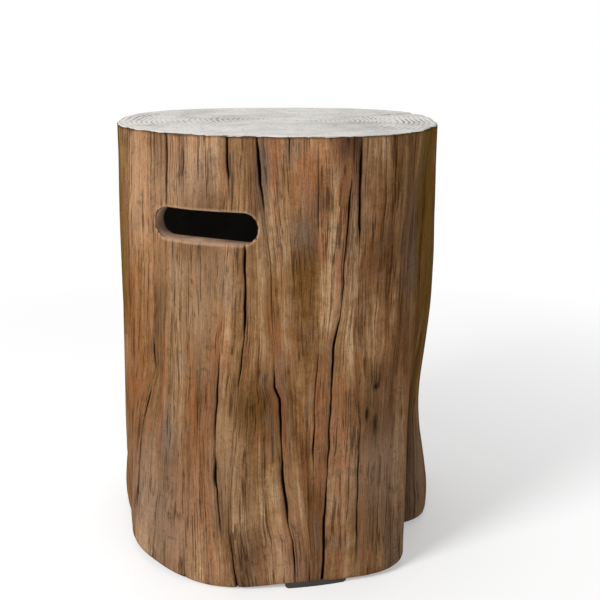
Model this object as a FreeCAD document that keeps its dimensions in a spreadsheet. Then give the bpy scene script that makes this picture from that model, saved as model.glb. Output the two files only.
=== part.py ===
import FreeCAD, Part
import math
import os

import Sketcher

# Cast cover table in the shape of a tree stump: one open-bottomed shell on four rubber pads.
# Millimetres. The origin is the middle of the footprint on the ground, +Z is up, and the
# front, with the hand hold a little left of its middle, looks towards -Y.

os.makedirs("parts", exist_ok=True)
doc = FreeCAD.newDocument("stump_cover_table")

# Driving dimensions
SIZES = [
    ("overall_height", 620.0, "ground to table top"),
    ("foot_height", 9.0, "ground to the bottom rim of the shell"),
    ("top_width", 472.0, "table top, side to side"),
    ("front_reach", 220.0, "trunk axis to the front edge of the table top"),
    ("rear_reach", 226.5, "trunk axis to the rear edge of the table top"),
    ("axis_setback", 8.0, "trunk axis behind the middle of the footprint"),
    ("front_spread", 23.4, "how much further the front reaches at the ground"),
    ("front_roundness", 2.35, "superellipse exponent of the front half"),
    ("rear_roundness", 2.7, "superellipse exponent of the rear half"),
    ("root_swell", 18.4, "how far the two side roots stand out at the ground"),
    ("root_azimuth", 110.0, "place of the side roots, from the front"),
    ("cleft_depth", 44.0, "deep cleft beside the right root, at the ground"),
    ("cleft_azimuth", 63.0, "place of the cleft"),
    ("waist_depth", 14.0, "hollow of the right side above its root"),
    ("wall", 12.0, "thickness of the cast side"),
    ("rim_extra", 12.0, "extra thickness of the side at the bottom rim"),
    ("rim_fade", 45.0, "height in which the rim's extra thickness fades"),
    ("top_thickness", 20.0, "thickness of the table top"),
    ("edge_round", 3.0, "easing of the table top's edge"),
    ("hold_length", 150.0, "hand hold, end to end"),
    ("hold_height", 46.0, "hand hold, bottom to top"),
    ("hold_centre", 499.0, "middle of the hand holds above the ground"),
    ("hold_azimuth", -26.5, "middle of the front hand hold, from the front"),
    ("hold_margin", 13.0, "thickened lip round a hand hold"),
    ("hold_lip", 30.0, "depth of the lip from the outside of the trunk"),
    ("hold_round", 5.0, "rounding of a hand hold's outer edge"),
    ("hose_width", 60.0, "hose passage in the rear rim"),
    ("hose_height", 45.0, "height of the hose passage above the ground"),
    ("hose_azimuth", 148.0, "place of the hose passage, from the front"),
    ("pad_length", 88.0, "rubber pad along the rim"),
    ("pad_width", 18.0, "rubber pad across the rim"),
    ("pad_inset", 4.0, "pad behind the outside of the rim"),
    ("pad_corner", 6.0, "rounded lower ends of a pad"),
    ("crack_width", 6.0, "widest drying crack at the surface"),
    ("crack_depth", 9.0, "deepest drying crack"),
]
sheet = doc.addObject("Spreadsheet::Sheet", "Dimensions")
for row, (alias, value, note) in enumerate(SIZES, start=1):
    sheet.set("A%d" % row, alias)
    sheet.set("B%d" % row, str(value))
    sheet.set("C%d" % row, note)
    sheet.setAlias("B%d" % row, alias)
doc.recompute()


def size(alias):
    return float(sheet.get(alias))


# Form of the trunk
# Azimuths and spreads are degrees. A level is 0 at the bottom rim and 1 at the table top, and none
# lies among the hand holds, so that each hold is cut through one smooth band of the trunk.
LEVELS = (0.0, 0.06, 0.14, 0.24, 0.36, 0.52, 0.74, 1.0)
TRUNK_SPANS = 24
HOLLOW_SIDES = 28
ROOT_SPREAD = 17.0
ROOT_TOP = 0.20
CLEFT_SPREAD = 8.5
CLEFT_TOP = 0.42
SPREAD_POWER = 1.6
WAIST_AZIMUTH = 92.0
WAIST_SPREAD = 24.0
WAIST_LEVEL = 0.30
WAIST_RISE = 0.17
LEFT_DIP = (-76.0, 10.0, -0.4)

# Low swells and dips of the bark: azimuth, spread, and height at the rim and at the table top
SWELLS = [
    (-22.0, 14.0, 6.0, 0.0),
    (22.0, 14.0, -6.0, 0.0),
    (28.0, 16.0, 0.0, 9.0),
    (-46.0, 20.0, 0.0, -15.0),
    (63.0, 8.0, -5.0, -5.0),
    (172.0, 12.0, -9.0, 0.0),
]


def hump(azimuth, centre, spread):
    """A smooth hump of height 1 about an azimuth, in degrees."""
    away = (azimuth - centre + 180.0) % 360.0 - 180.0
    return math.exp(-0.5 * (away / spread) ** 2)


def trunk_radius(azimuth, level):
    """Distance from the trunk axis to the bark; level is 0 at the rim and 1 at the table top."""
    across = math.sin(math.radians(azimuth))
    ahead = math.cos(math.radians(azimuth))
    below = 1.0 - level
    reach = size("rear_reach")
    if ahead > 0.0:
        reach = size("front_reach") + size("front_spread") * below ** SPREAD_POWER
    rearward = 0.5 * (1.0 - ahead)
    power = size("front_roundness") * (1.0 - rearward) + size("rear_roundness") * rearward
    squares = abs(2.0 * across / size("top_width")) ** power + abs(ahead / reach) ** power
    radius = squares ** (-1.0 / power)
    low = max(level, 0.0)
    root = size("root_azimuth")
    near_ground = size("root_swell") * math.exp(-(low / ROOT_TOP) ** 1.5)
    for place, spread, share in ((root, ROOT_SPREAD, 1.0), (-root, ROOT_SPREAD, 1.0), LEFT_DIP):
        radius += share * near_ground * hump(azimuth, place, spread)
    cleft = size("cleft_depth") * math.exp(-(low / CLEFT_TOP) ** 1.6)
    radius -= cleft * hump(azimuth, size("cleft_azimuth"), CLEFT_SPREAD)
    waist = size("waist_depth") * math.exp(-((level - WAIST_LEVEL) / WAIST_RISE) ** 2)
    radius -= waist * hump(azimuth, WAIST_AZIMUTH, WAIST_SPREAD)
    for place, spread, at_rim, at_top in SWELLS:
        radius += (at_rim * below + at_top * level) * hump(azimuth, place, spread)
    return radius


def bark_point(azimuth, level):
    radius = trunk_radius(azimuth, level)
    turn = math.radians(azimuth)
    return FreeCAD.Vector(radius * math.sin(turn), size("axis_setback") - radius * math.cos(turn), 0.0)


def trunk_point(azimuth, level, inward=0.0):
    """Point of the outline in plan, moved inward square to the outline."""
    along = (bark_point(azimuth + 0.5, level) - bark_point(azimuth - 0.5, level)).normalize()
    return bark_point(azimuth, level) + FreeCAD.Vector(-along.y, along.x, 0.0) * inward


def slope(azimuth, level, inward):
    """How fast the outline runs along at an azimuth, for one degree."""
    return trunk_point(azimuth + 0.5, level, inward) - trunk_point(azimuth - 0.5, level, inward)


def outline(level, inward):
    """Smooth spans end to end round the trunk at a level, the first from the cleft."""
    step = 360.0 / TRUNK_SPANS
    third = step / 3.0
    spans = []
    for index in range(TRUNK_SPANS):
        start = size("cleft_azimuth") + index * step
        first, last = (trunk_point(azimuth, level, inward) for azimuth in (start, start + step))
        leaving = slope(start, level, inward) * third
        arriving = slope(start + step, level, inward) * third
        span = Part.BSplineCurve()
        poles = [first, first + leaving, last - arriving, last]
        span.buildFromPolesMultsKnots(poles, [4, 4], [0.0, 1.0], False, 3)
        spans.append(span)
    return spans


def core_outline(level, inward):
    """Straight sides of the casting's core at a level, the first from the cleft."""
    corners = []
    for index in range(HOLLOW_SIDES):
        azimuth = size("cleft_azimuth") + 360.0 * index / HOLLOW_SIDES
        corners.append(trunk_point(azimuth, level, inward))
    return [Part.LineSegment(first, last) for first, last in zip(corners, corners[1:] + corners[:1])]


def level_height(level):
    """Expression for the height of a level above the ground."""
    start = "Dimensions.foot_height"
    return "%s + %s * (Dimensions.overall_height - %s)" % (start, level, start)


def height_of(level):
    return size("foot_height") + level * (size("overall_height") - size("foot_height"))


def level_of(height):
    return (height - size("foot_height")) / (size("overall_height") - size("foot_height"))


# Sketch helpers
def plane_of(body, role):
    return next(item for item in body.Origin.OriginFeatures if item.Role == role)


def new_body(name, azimuth=None):
    """A body, turned about the trunk axis so that its -Y looks outward at an azimuth."""
    body = doc.addObject("PartDesign::Body", name)
    body.Label = name
    if azimuth is not None:
        turn = FreeCAD.Rotation(FreeCAD.Vector(0, 0, 1), azimuth)
        body.Placement = FreeCAD.Placement(FreeCAD.Vector(0, size("axis_setback"), 0), turn)
    return body


def new_sketch(body, name, role, offset=None):
    """A sketch on an origin plane, lifted off it by an expression."""
    sketch = body.newObject("Sketcher::SketchObject", name)
    sketch.AttachmentSupport = [(plane_of(body, role), "")]
    sketch.MapMode = "FlatFace"
    if offset is not None:
        sketch.setExpression("AttachmentOffset.Base.z", offset)
    return sketch


def bind(sketch, constraint, expression):
    """Add a dimension to a sketch and drive it from the sheet."""
    index = sketch.addConstraint(constraint)
    sketch.setExpression("Constraints[%d]" % index, expression)


def vector(across, up):
    return FreeCAD.Vector(across, up, 0.0)


def obround(sketch, length, height, centre, long_side, short_side, middle):
    """A slot with full-round ends, centred on the sketch's upright axis."""
    half = short_side / 2.0
    straight = long_side / 2.0 - half
    low, high = middle - half, middle + half
    sketch.addGeometry(Part.LineSegment(vector(-straight, low), vector(straight, low)))
    circle = Part.Circle(vector(straight, middle), FreeCAD.Vector(0, 0, 1), half)
    sketch.addGeometry(Part.ArcOfCircle(circle, -math.pi / 2.0, math.pi / 2.0))
    sketch.addGeometry(Part.LineSegment(vector(straight, high), vector(-straight, high)))
    circle = Part.Circle(vector(-straight, middle), FreeCAD.Vector(0, 0, 1), half)
    sketch.addGeometry(Part.ArcOfCircle(circle, math.pi / 2.0, 1.5 * math.pi))
    for first, first_end, second, second_end in ((0, 2, 1, 1), (1, 2, 2, 1), (2, 2, 3, 1), (3, 2, 0, 1)):
        sketch.addConstraint(Sketcher.Constraint("Tangent", first, first_end, second, second_end))
    sketch.addConstraint(Sketcher.Constraint("Horizontal", 0))
    sketch.addConstraint(Sketcher.Constraint("Symmetric", 1, 3, 3, 3, -2))
    bind(sketch, Sketcher.Constraint("Radius", 1, half), "(%s) / 2" % height)
    span = Sketcher.Constraint("DistanceX", 3, 3, 1, 3, 2.0 * straight)
    bind(sketch, span, "%s - (%s)" % (length, height))
    bind(sketch, Sketcher.Constraint("DistanceY", -1, 1, 1, 3, middle), centre)


# Trunk and hollow
def loft_body(name, draw, levels, inwards, heights):
    """A body lofted through outlines round the trunk, one sketch for each level."""
    body = new_body(name)
    sketches = []
    for index, (level, inward, lift) in enumerate(zip(levels, inwards, heights)):
        sketch = new_sketch(body, "%s_ring_%d" % (name, index), "XY_Plane", lift)
        sketch.addGeometry(draw(level, inward))
        sketches.append(sketch)
    loft = body.newObject("PartDesign::AdditiveLoft", name + "_loft")
    loft.Profile = sketches[0]
    loft.Sections = sketches[1:]
    loft.Ruled = True
    return body


def make_trunk():
    """The solid trunk, with an eased edge round the table top."""
    levels = LEVELS + (1.0,)
    inwards = [0.0] * len(LEVELS) + [size("edge_round")]
    heights = [level_height(one) for one in levels]
    heights[-2] += " - Dimensions.edge_round"
    return loft_body("trunk", outline, levels, inwards, heights)


def make_hollow():
    """The space that the core leaves, from below the rim to the underside of the table top."""
    ceiling = level_of(size("overall_height") - size("top_thickness"))
    levels = [one for one in LEVELS[::2] if one < ceiling] + [ceiling]
    inwards = []
    for level in levels:
        fade = math.exp(-(height_of(level) / size("rim_fade")) ** 2)
        inwards.append(size("wall") + size("rim_extra") * fade)
    lifts = [level_height(one) for one in levels[:-1]]
    lifts[0] = "Dimensions.foot_height - 1"
    lifts.append("Dimensions.overall_height - Dimensions.top_thickness")
    return loft_body("hollow", core_outline, levels, inwards, lifts)


# Hand holds and the hose passage
def turned_body(name, azimuth, draw, start, length):
    """A body that runs outward along an azimuth, from a distance off the trunk axis."""
    body = new_body(name, azimuth)
    sketch = new_sketch(body, name + "_profile", "XZ_Plane")
    sketch.AttachmentOffset = FreeCAD.Placement(FreeCAD.Vector(0, 0, start), FreeCAD.Rotation())
    draw(sketch)
    pad = body.newObject("PartDesign::Pad", name + "_run")
    pad.Profile = sketch
    pad.Length = length
    return body


def hold_profile(sketch):
    obround(sketch, "Dimensions.hold_length", "Dimensions.hold_height", "Dimensions.hold_centre",
            size("hold_length"), size("hold_height"), size("hold_centre"))


def lip_profile(sketch):
    margin = 2.0 * size("hold_margin")
    obround(sketch, "Dimensions.hold_length + 2 * Dimensions.hold_margin",
            "Dimensions.hold_height + 2 * Dimensions.hold_margin", "Dimensions.hold_centre",
            size("hold_length") + margin, size("hold_height") + margin, size("hold_centre"))


def hose_profile(sketch):
    """An arch that starts below the rim."""
    half = size("hose_width") / 2.0
    spring = size("hose_height") - half
    sketch.addGeometry(Part.LineSegment(vector(-half, 0.0), vector(half, 0.0)))
    sketch.addGeometry(Part.LineSegment(vector(half, 0.0), vector(half, spring)))
    circle = Part.Circle(vector(0.0, spring), FreeCAD.Vector(0, 0, 1), half)
    sketch.addGeometry(Part.ArcOfCircle(circle, 0.0, math.pi))
    sketch.addGeometry(Part.LineSegment(vector(-half, spring), vector(-half, 0.0)))
    for first, first_end, second, second_end in ((0, 2, 1, 1), (3, 2, 0, 1)):
        joint = Sketcher.Constraint("Coincident", first, first_end, second, second_end)
        sketch.addConstraint(joint)
    sketch.addConstraint(Sketcher.Constraint("Tangent", 1, 2, 2, 1))
    sketch.addConstraint(Sketcher.Constraint("Tangent", 2, 2, 3, 1))
    sketch.addConstraint(Sketcher.Constraint("Horizontal", 0))
    sketch.addConstraint(Sketcher.Constraint("Vertical", 1))
    sketch.addConstraint(Sketcher.Constraint("PointOnObject", 0, 1, -1))
    sketch.addConstraint(Sketcher.Constraint("PointOnObject", 2, 3, -2))
    bind(sketch, Sketcher.Constraint("Radius", 2, half), "Dimensions.hose_width / 2")
    rise = Sketcher.Constraint("DistanceY", -1, 1, 2, 3, spring)
    bind(sketch, rise, "Dimensions.hose_height - Dimensions.hose_width / 2")


REACH_PAST = 25.0


def passage(name, azimuth, level, profile, inward):
    """A cutter or keeper that runs outward through the side and a little past it."""
    outside = trunk_radius(azimuth, level)
    return turned_body(name, azimuth, profile, outside - inward, inward + REACH_PAST)


def make_holds():
    """Cutters for both hand holds and keepers for their thick lips."""
    cutters, keepers = [], []
    level = level_of(size("hold_centre"))
    for name, azimuth in (("front", size("hold_azimuth")), ("rear", size("hold_azimuth") + 180.0)):
        cutters.append(passage(name + "_hold", azimuth, level, hold_profile, 2.0 * size("hold_lip")))
        keepers.append(passage(name + "_lip", azimuth, level, lip_profile, size("hold_lip")))
    return cutters, keepers


# Drying cracks
# Each crack is a name, its share of the deepest crack and its way down the trunk, as pairs of an
# azimuth in degrees and a level. A way that starts at level 1 notches the edge of the table top.
CRACKS = [
    ("crack_left_edge", 0.5, [(-63.5, 1.0), (-63.0, 0.90), (-64.0, 0.60)]),
    ("crack_to_hold", 0.9, [(-40.5, 1.0), (-40.5, 0.83)]),
    ("crack_top_left", 0.9, [(-17.0, 1.0), (-16.5, 0.88)]),
    ("crack_top_middle", 1.0, [(-7.0, 1.0), (-5.5, 0.90), (-4.5, 0.84), (-2.0, 0.73), (-2.0, 0.65)]),
    ("crack_below_hold", 0.9, [(-11.0, 0.77), (-11.0, 0.58), (-13.0, 0.45)]),
    ("crack_front", 1.0, [(-1.0, 0.55), (0.0, 0.44), (1.0, 0.25), (3.5, 0.14), (6.0, 0.0)]),
    ("crack_low_left", 1.0, [(-19.0, 0.54), (-20.5, 0.39), (-20.5, 0.24), (-18.0, 0.10)]),
    ("crack_rim_left", 0.8, [(-15.5, 0.12), (-13.0, 0.0)]),
    ("crack_left_root", 0.7, [(-41.5, 0.38), (-42.0, 0.20), (-45.5, 0.0)]),
    ("crack_wavy", 0.7, [(-46.5, 0.54), (-46.0, 0.46), (-53.0, 0.30), (-56.5, 0.12)]),
    ("crack_top_right", 1.0, [(26.5, 1.0), (26.5, 0.77)]),
    ("crack_long", 1.0, [(23.5, 0.89), (21.0, 0.65), (18.0, 0.50), (16.5, 0.24), (15.0, 0.0)]),
    ("crack_short", 0.5, [(13.5, 0.52), (12.5, 0.42), (12.0, 0.29)]),
    ("crack_right", 0.7, [(47.0, 1.0), (46.0, 0.89), (43.0, 0.66), (40.0, 0.49)]),
    ("crack_cleft", 0.9, [(64.0, 1.0), (58.0, 0.87), (55.0, 0.64), (56.0, 0.42), (60.0, 0.20)]),
    ("crack_side_top", 0.6, [(104.0, 1.0), (103.0, 0.80), (106.0, 0.62)]),
    ("crack_behind_root", 0.9, [(128.0, 0.70), (127.0, 0.45), (131.0, 0.20), (130.0, 0.0)]),
    ("crack_rear_hold", 0.9, [(143.0, 1.0), (142.0, 0.84)]),
    ("crack_rear", 1.0, [(173.0, 0.60), (171.0, 0.30), (172.0, 0.0)]),
    ("crack_rear_top", 0.9, [(-165.0, 1.0), (-166.0, 0.75), (-163.0, 0.50)]),
    ("crack_rear_low", 0.7, [(-145.0, 0.60), (-147.0, 0.30), (-144.0, 0.0)]),
    ("crack_left_side", 0.7, [(-92.0, 0.90), (-94.0, 0.60), (-90.0, 0.30), (-91.0, 0.0)]),
]
CRACK_END = 0.3
CRACK_OUTSIDE = 4.0


def crack_section(sketch, azimuth, level, share):
    """Wedge across a crack, its mouth outside the bark and its tip inside the wall."""
    inner = trunk_point(azimuth, level, share * size("crack_depth"))
    mouth = trunk_point(azimuth, level, -CRACK_OUTSIDE)
    outward = (mouth - inner).normalize()
    spread = 1.0 + CRACK_OUTSIDE / (share * size("crack_depth"))
    aside = FreeCAD.Vector(-outward.y, outward.x, 0.0) * (0.5 * share * size("crack_width") * spread)
    corners = [inner, mouth + aside, mouth - aside]
    for first, second in zip(corners, corners[1:] + corners[:1]):
        sketch.addGeometry(Part.LineSegment(first, second))


def make_crack(name, share, way):
    """A crack as a solid wedge that follows the bark down the trunk."""
    body = new_body(name)
    stations = []
    for place, (azimuth, level) in enumerate(way):
        closed = place in (0, len(way) - 1) and 0.0 < level < 1.0
        stations.append((azimuth, level, share * (CRACK_END if closed else 1.0), level_height(level)))
    azimuth, level, deep, lift = stations[0]
    if level == 1.0:
        stations[0] = (azimuth, level, deep, lift + " + %s" % CRACK_OUTSIDE)
    azimuth, level, deep, lift = stations[-1]
    if level == 0.0:
        stations[-1] = (azimuth, level, deep, lift + " - %s" % CRACK_OUTSIDE)
    sketches = []
    for place, (azimuth, level, deep, lift) in enumerate(stations):
        sketch = new_sketch(body, "%s_cut_%d" % (name, place), "XY_Plane", lift)
        crack_section(sketch, azimuth, level, deep)
        sketches.append(sketch)
    loft = body.newObject("PartDesign::AdditiveLoft", name + "_loft")
    loft.Profile = sketches[0]
    loft.Sections = sketches[1:]
    loft.Ruled = True
    return body


# Rubber pads under the rim
PADS = [
    ("front_foot_pad", 13.0),
    ("right_foot_pad", 113.0),
    ("rear_foot_pad", -167.0),
    ("left_foot_pad", -112.0),
]


def rim_curve(azimuth, inward):
    """The arc of the rim's outline over a pad, moved inward."""
    half = math.degrees(0.5 * size("pad_length") / trunk_radius(azimuth, 0.0))
    stations = (azimuth - half, azimuth, azimuth + half)
    return Part.Arc(*(trunk_point(station, 0.0, inward) for station in stations))


def make_pad(name, azimuth):
    """One rubber pad that follows the rim, with rounded lower ends."""
    body = new_body(name)
    sketch = new_sketch(body, name + "_plan", "XY_Plane")
    outer = rim_curve(azimuth, size("pad_inset"))
    inner = rim_curve(azimuth, size("pad_inset") + size("pad_width"))
    sketch.addGeometry(outer)
    sketch.addGeometry(inner)
    for end in ("FirstParameter", "LastParameter"):
        corners = [arc.value(getattr(arc, end)) for arc in (outer, inner)]
        sketch.addGeometry(Part.LineSegment(*corners))
    pad = body.newObject("PartDesign::Pad", name + "_block")
    pad.Profile = sketch
    pad.setExpression("Length", "Dimensions.foot_height")
    doc.recompute()
    ends = []
    for index, edge in enumerate(pad.Shape.Edges, start=1):
        on_ground = edge.BoundBox.ZMax < 0.001
        if on_ground and edge.Curve.TypeId == "Part::GeomLine":
            ends.append("Edge%d" % index)
    fillet = body.newObject("PartDesign::Fillet", name + "_ends")
    fillet.Base = (pad, ends)
    fillet.setExpression("Radius", "Dimensions.pad_corner")
    return body


def joined(name, bodies):
    fusion = doc.addObject("Part::MultiFuse", name)
    fusion.Shapes = bodies
    return fusion


def cut(name, base, tool):
    difference = doc.addObject("Part::Cut", name)
    difference.Base = base
    difference.Tool = tool
    return difference


def rounded(name, base, radius_alias, wanted):
    """Round those edges of a shape that a test picks."""
    doc.recompute()
    fillet = doc.addObject("Part::Fillet", name)
    fillet.Base = base
    radius = size(radius_alias)
    edges = [index for index, edge in enumerate(base.Shape.Edges, start=1) if wanted(edge)]
    fillet.Edges = [(index, radius, radius) for index in edges]
    return fillet


BARK_BAND = 3.0


def on_hold_mouth(edge):
    """Whether an edge lies round a hand hold, on the outside of the trunk."""
    low = size("hold_centre") - size("hold_height")
    high = size("hold_centre") + size("hold_height")
    if edge.BoundBox.ZMin < low or edge.BoundBox.ZMax > high:
        return False
    for share in (0.1, 0.5, 0.9):
        first, last = edge.ParameterRange
        point = edge.valueAt(first + share * (last - first))
        ahead = size("axis_setback") - point.y
        azimuth = math.degrees(math.atan2(point.x, ahead))
        reach = trunk_radius(azimuth, level_of(point.z))
        if math.hypot(point.x, ahead) < reach - BARK_BAND:
            return False
    return True


def make_shell():
    """The casting: trunk less hollow, hand holds, hose passage and cracks."""
    cutters, keepers = make_holds()
    hose = passage("hose_passage", size("hose_azimuth"), 0.0, hose_profile, 2.0 * size("hold_lip"))
    hollow = cut("hollow_round_lips", make_hollow(), joined("lips", keepers))
    walls = cut("walls", make_trunk(), hollow)
    pierced = cut("pierced_walls", walls, joined("passages", cutters + [hose]))
    mouths = rounded("eased_hand_holds", pierced, "hold_round", on_hold_mouth)
    cracks = [make_crack(*crack) for crack in CRACKS]
    shell = cut("stump_shell", mouths, joined("drying_cracks", cracks))
    shell.Label = "stump_shell"
    return shell


parts = [make_shell()]
for pad_name, pad_azimuth in PADS:
    parts.append(make_pad(pad_name, pad_azimuth))
doc.recompute()

for item in doc.Objects:
    if "Invalid" in item.State or "Error" in item.State:
        raise RuntimeError("failed object: %s" % item.Label)
for part in parts:
    if part.Shape.isNull() or not part.Shape.isValid():
        raise RuntimeError("bad shape: %s" % part.Label)
for part in parts:
    part.Shape.exportStep("parts/%s.step" % part.Label)
    box = part.Shape.BoundBox
    print("%s: %.1f cm3" % (part.Label, part.Shape.Volume / 1000.0), len(part.Shape.Solids), box)
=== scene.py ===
import math

import bpy
import numpy as np
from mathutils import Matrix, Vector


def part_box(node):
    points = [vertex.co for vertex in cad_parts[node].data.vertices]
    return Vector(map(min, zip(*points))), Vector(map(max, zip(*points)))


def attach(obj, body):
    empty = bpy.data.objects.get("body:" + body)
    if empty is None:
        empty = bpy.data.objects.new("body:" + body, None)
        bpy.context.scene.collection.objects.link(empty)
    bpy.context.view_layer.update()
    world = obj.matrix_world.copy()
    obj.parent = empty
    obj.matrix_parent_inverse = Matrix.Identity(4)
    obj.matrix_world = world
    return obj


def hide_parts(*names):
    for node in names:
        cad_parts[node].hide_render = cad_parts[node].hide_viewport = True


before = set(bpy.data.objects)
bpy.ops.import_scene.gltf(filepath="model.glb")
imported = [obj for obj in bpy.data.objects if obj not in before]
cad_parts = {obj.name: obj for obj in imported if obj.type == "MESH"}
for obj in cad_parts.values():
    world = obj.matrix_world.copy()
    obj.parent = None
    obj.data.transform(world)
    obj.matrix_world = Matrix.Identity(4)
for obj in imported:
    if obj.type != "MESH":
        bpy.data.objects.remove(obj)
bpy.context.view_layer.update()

# Cover table cast in the shape of a tree stump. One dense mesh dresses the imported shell: bark
# with drying cracks, a sawn top with growth rings, two hand holds, a hose passage and a plain
# cast inside. The pads under the rim only get a rubber material.
# Lengths are millimetres until a mesh is made. Azimuths are degrees from the front towards the
# right. A level is the share of the way from the rim up to the table top.

MM = 0.001
RANDOM = np.random.default_rng(4127)

# Heights of the rim and of the table top, read from the frame
SHELL_LOW, SHELL_HIGH = (np.array(corner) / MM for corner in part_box("stump_shell"))
RIM, HEIGHT = SHELL_LOW[2], SHELL_HIGH[2]
TALL = HEIGHT - RIM

# Trunk form: the table top, its spread towards the front of the rim, and the power of its curve
AXIS_Y = 8
MEAN_RADIUS = 236
TOP_HALF_WIDTH = 236
FRONT_REACH, REAR_REACH = 220, 226.5
FRONT_POWER, REAR_POWER = 2.35, 2.7
FRONT_SPREAD = 23.4

# Roots, cleft and waist: size, azimuth and spread, and the level where they fade
ROOT_SWELL, ROOT_AZIMUTH, ROOT_LEVEL = 18.4, 110, 0.20
CLEFT_DEPTH, CLEFT_AZIMUTH, CLEFT_SPREAD, CLEFT_LEVEL = 44, 63, 8.5, 0.42
WAIST_DEPTH, WAIST_AZIMUTH, WAIST_SPREAD = 14, 92, 24
WAIST_LEVEL, WAIST_REACH = 0.30, 0.17

# Each root: azimuth, spread and share of the swell
ROOTS = [(ROOT_AZIMUTH, 17, 1), (-ROOT_AZIMUTH, 17, 1), (-76, 10, -0.4)]

# Low swells and dips of the bark: azimuth, spread, and height at the rim and at the table top
SWELLS = [
    (-22, 14, 6, 0),
    (21, 13, -5, 0),
    (41, 8, 6, 0),
    (88, 16, -4, -3),
    (28, 16, 0, 9),
    (-46, 20, 0, -15),
    (63, 8, -5, -5),
    (172, 12, -9, 0),
]

# Dips of the rim's outer edge towards the ground: azimuth, spread and drop
RIM_DIPS = [(-20, 14, 8), (30, 13, 5.5), (92, 18, 8)]
DIP_LEVEL = 0.06

# Rounding of the bark's upper and lower edge
TOP_ROUND, RIM_ROUND = 2.2, 7

# Wall, thicker at the rim and where the trunk's side leans away from the radius
WALL = 12
RIM_EXTRA, RIM_EXTRA_HEIGHT = 12, 45
MOST_LEAN = 1.5
TOP_THICKNESS = 20

# Hand holds, with the rounding of their edges and the flat boss round them inside
HOLD_LENGTH, HOLD_HEIGHT = 150, 41
HOLD_CENTRE = 500
HOLD_AZIMUTHS = (-26.5, 153.5)
HOLD_ROUND = 4.6
HOLD_MARGIN = 13
HOLD_LIP = 30

# Hose passage in the rear rim
HOSE_AZIMUTH = 148
HOSE_WIDTH, HOSE_HEIGHT = 60, 45

# Numbers of the shell's materials
BARK, TOP, CAST, LIP = range(4)


# Curves
def away_from(azimuth, centre):
    """Degrees from a centre round to an azimuth, between -180 and 180."""
    return (azimuth - centre + 180) % 360 - 180


def hump(azimuth, centre, spread):
    """Bell curve round the trunk, 1 at its centre."""
    return np.exp(-0.5 * (away_from(azimuth, centre) / spread) ** 2)


def bell(distance, reach, power=2):
    """Curve that falls from 1 at no distance to about a third at its reach."""
    return np.exp(-(distance / reach) ** power)


def smooth(values, low, high):
    """Smooth step from 0 at the low value to 1 at the high one."""
    share = np.clip((values - low) / (high - low), 0, 1)
    return share * share * (3 - 2 * share)


def rounded(distance, radius):
    """How far a rounded edge falls back at a distance from it."""
    inside = np.clip(1 - distance / radius, 0, 1)
    return radius * (1 - np.sqrt(1 - inside ** 2))


class Ripple:
    """Smooth noise that repeats round the trunk, about -1 to 1."""

    def __init__(self, across, up):
        self.across, self.up = across, up
        self.table = RANDOM.uniform(-1, 1, (across, up + 3))

    def __call__(self, azimuth, level):
        place = (np.asarray(azimuth) % 360) / 360 * self.across
        rise = np.clip(level, 0, 1) * self.up
        column, row = np.floor(place).astype(int), np.floor(rise).astype(int)
        aside, above = smooth(place - column, 0, 1), smooth(rise - row, 0, 1)
        near, far = column % self.across, (column + 1) % self.across
        low = self.table[near, row] * (1 - aside) + self.table[far, row] * aside
        high = self.table[near, row + 1] * (1 - aside) + self.table[far, row + 1] * aside
        return low * (1 - above) + high * above


def rippled(table, azimuth, level):
    """Sum of new ripples, each given as its size and its count round and up the trunk."""
    return sum(size * Ripple(across, up)(azimuth, level) for size, across, up in table)


# Trunk
def trunk_radius(azimuth, level):
    """Distance from the trunk axis to the bark before it is carved."""
    across = np.sin(np.radians(azimuth))
    ahead = np.cos(np.radians(azimuth))
    below = 1 - level
    reach = np.where(ahead > 0, FRONT_REACH + FRONT_SPREAD * below ** 1.6, REAR_REACH)
    rearward = 0.5 * (1 - ahead)
    power = FRONT_POWER * (1 - rearward) + REAR_POWER * rearward
    squares = np.abs(across / TOP_HALF_WIDTH) ** power + np.abs(ahead / reach) ** power
    radius = squares ** (-1 / power)
    near_ground = ROOT_SWELL * bell(level, ROOT_LEVEL, 1.5)
    for place, spread, share in ROOTS:
        radius = radius + share * near_ground * hump(azimuth, place, spread)
    radius -= CLEFT_DEPTH * bell(level, CLEFT_LEVEL, 1.6) * hump(azimuth, CLEFT_AZIMUTH, CLEFT_SPREAD)
    waist = WAIST_DEPTH * bell(level - WAIST_LEVEL, WAIST_REACH)
    radius -= waist * hump(azimuth, WAIST_AZIMUTH, WAIST_SPREAD)
    for place, spread, at_rim, at_top in SWELLS:
        radius += (at_rim * below + at_top * level) * hump(azimuth, place, spread)
    return radius


def in_place(azimuth, radius, height):
    """Points in the frame at an azimuth, a distance from the trunk axis and a height."""
    turn = np.radians(azimuth)
    return np.stack([radius * np.sin(turn), AXIS_Y - radius * np.cos(turn), height], -1)


def hold_distance(azimuth, radius, height, hold):
    """Signed distance to the edge of a hand hold, seen square on."""
    turn = np.radians(azimuth - hold)
    aside = np.abs(radius * np.sin(turn))
    half = HOLD_HEIGHT / 2
    straight = HOLD_LENGTH / 2 - half
    distance = np.hypot(np.maximum(aside - straight, 0), height - HOLD_CENTRE) - half
    return np.where(np.cos(turn) > 0, distance, np.inf)


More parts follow.
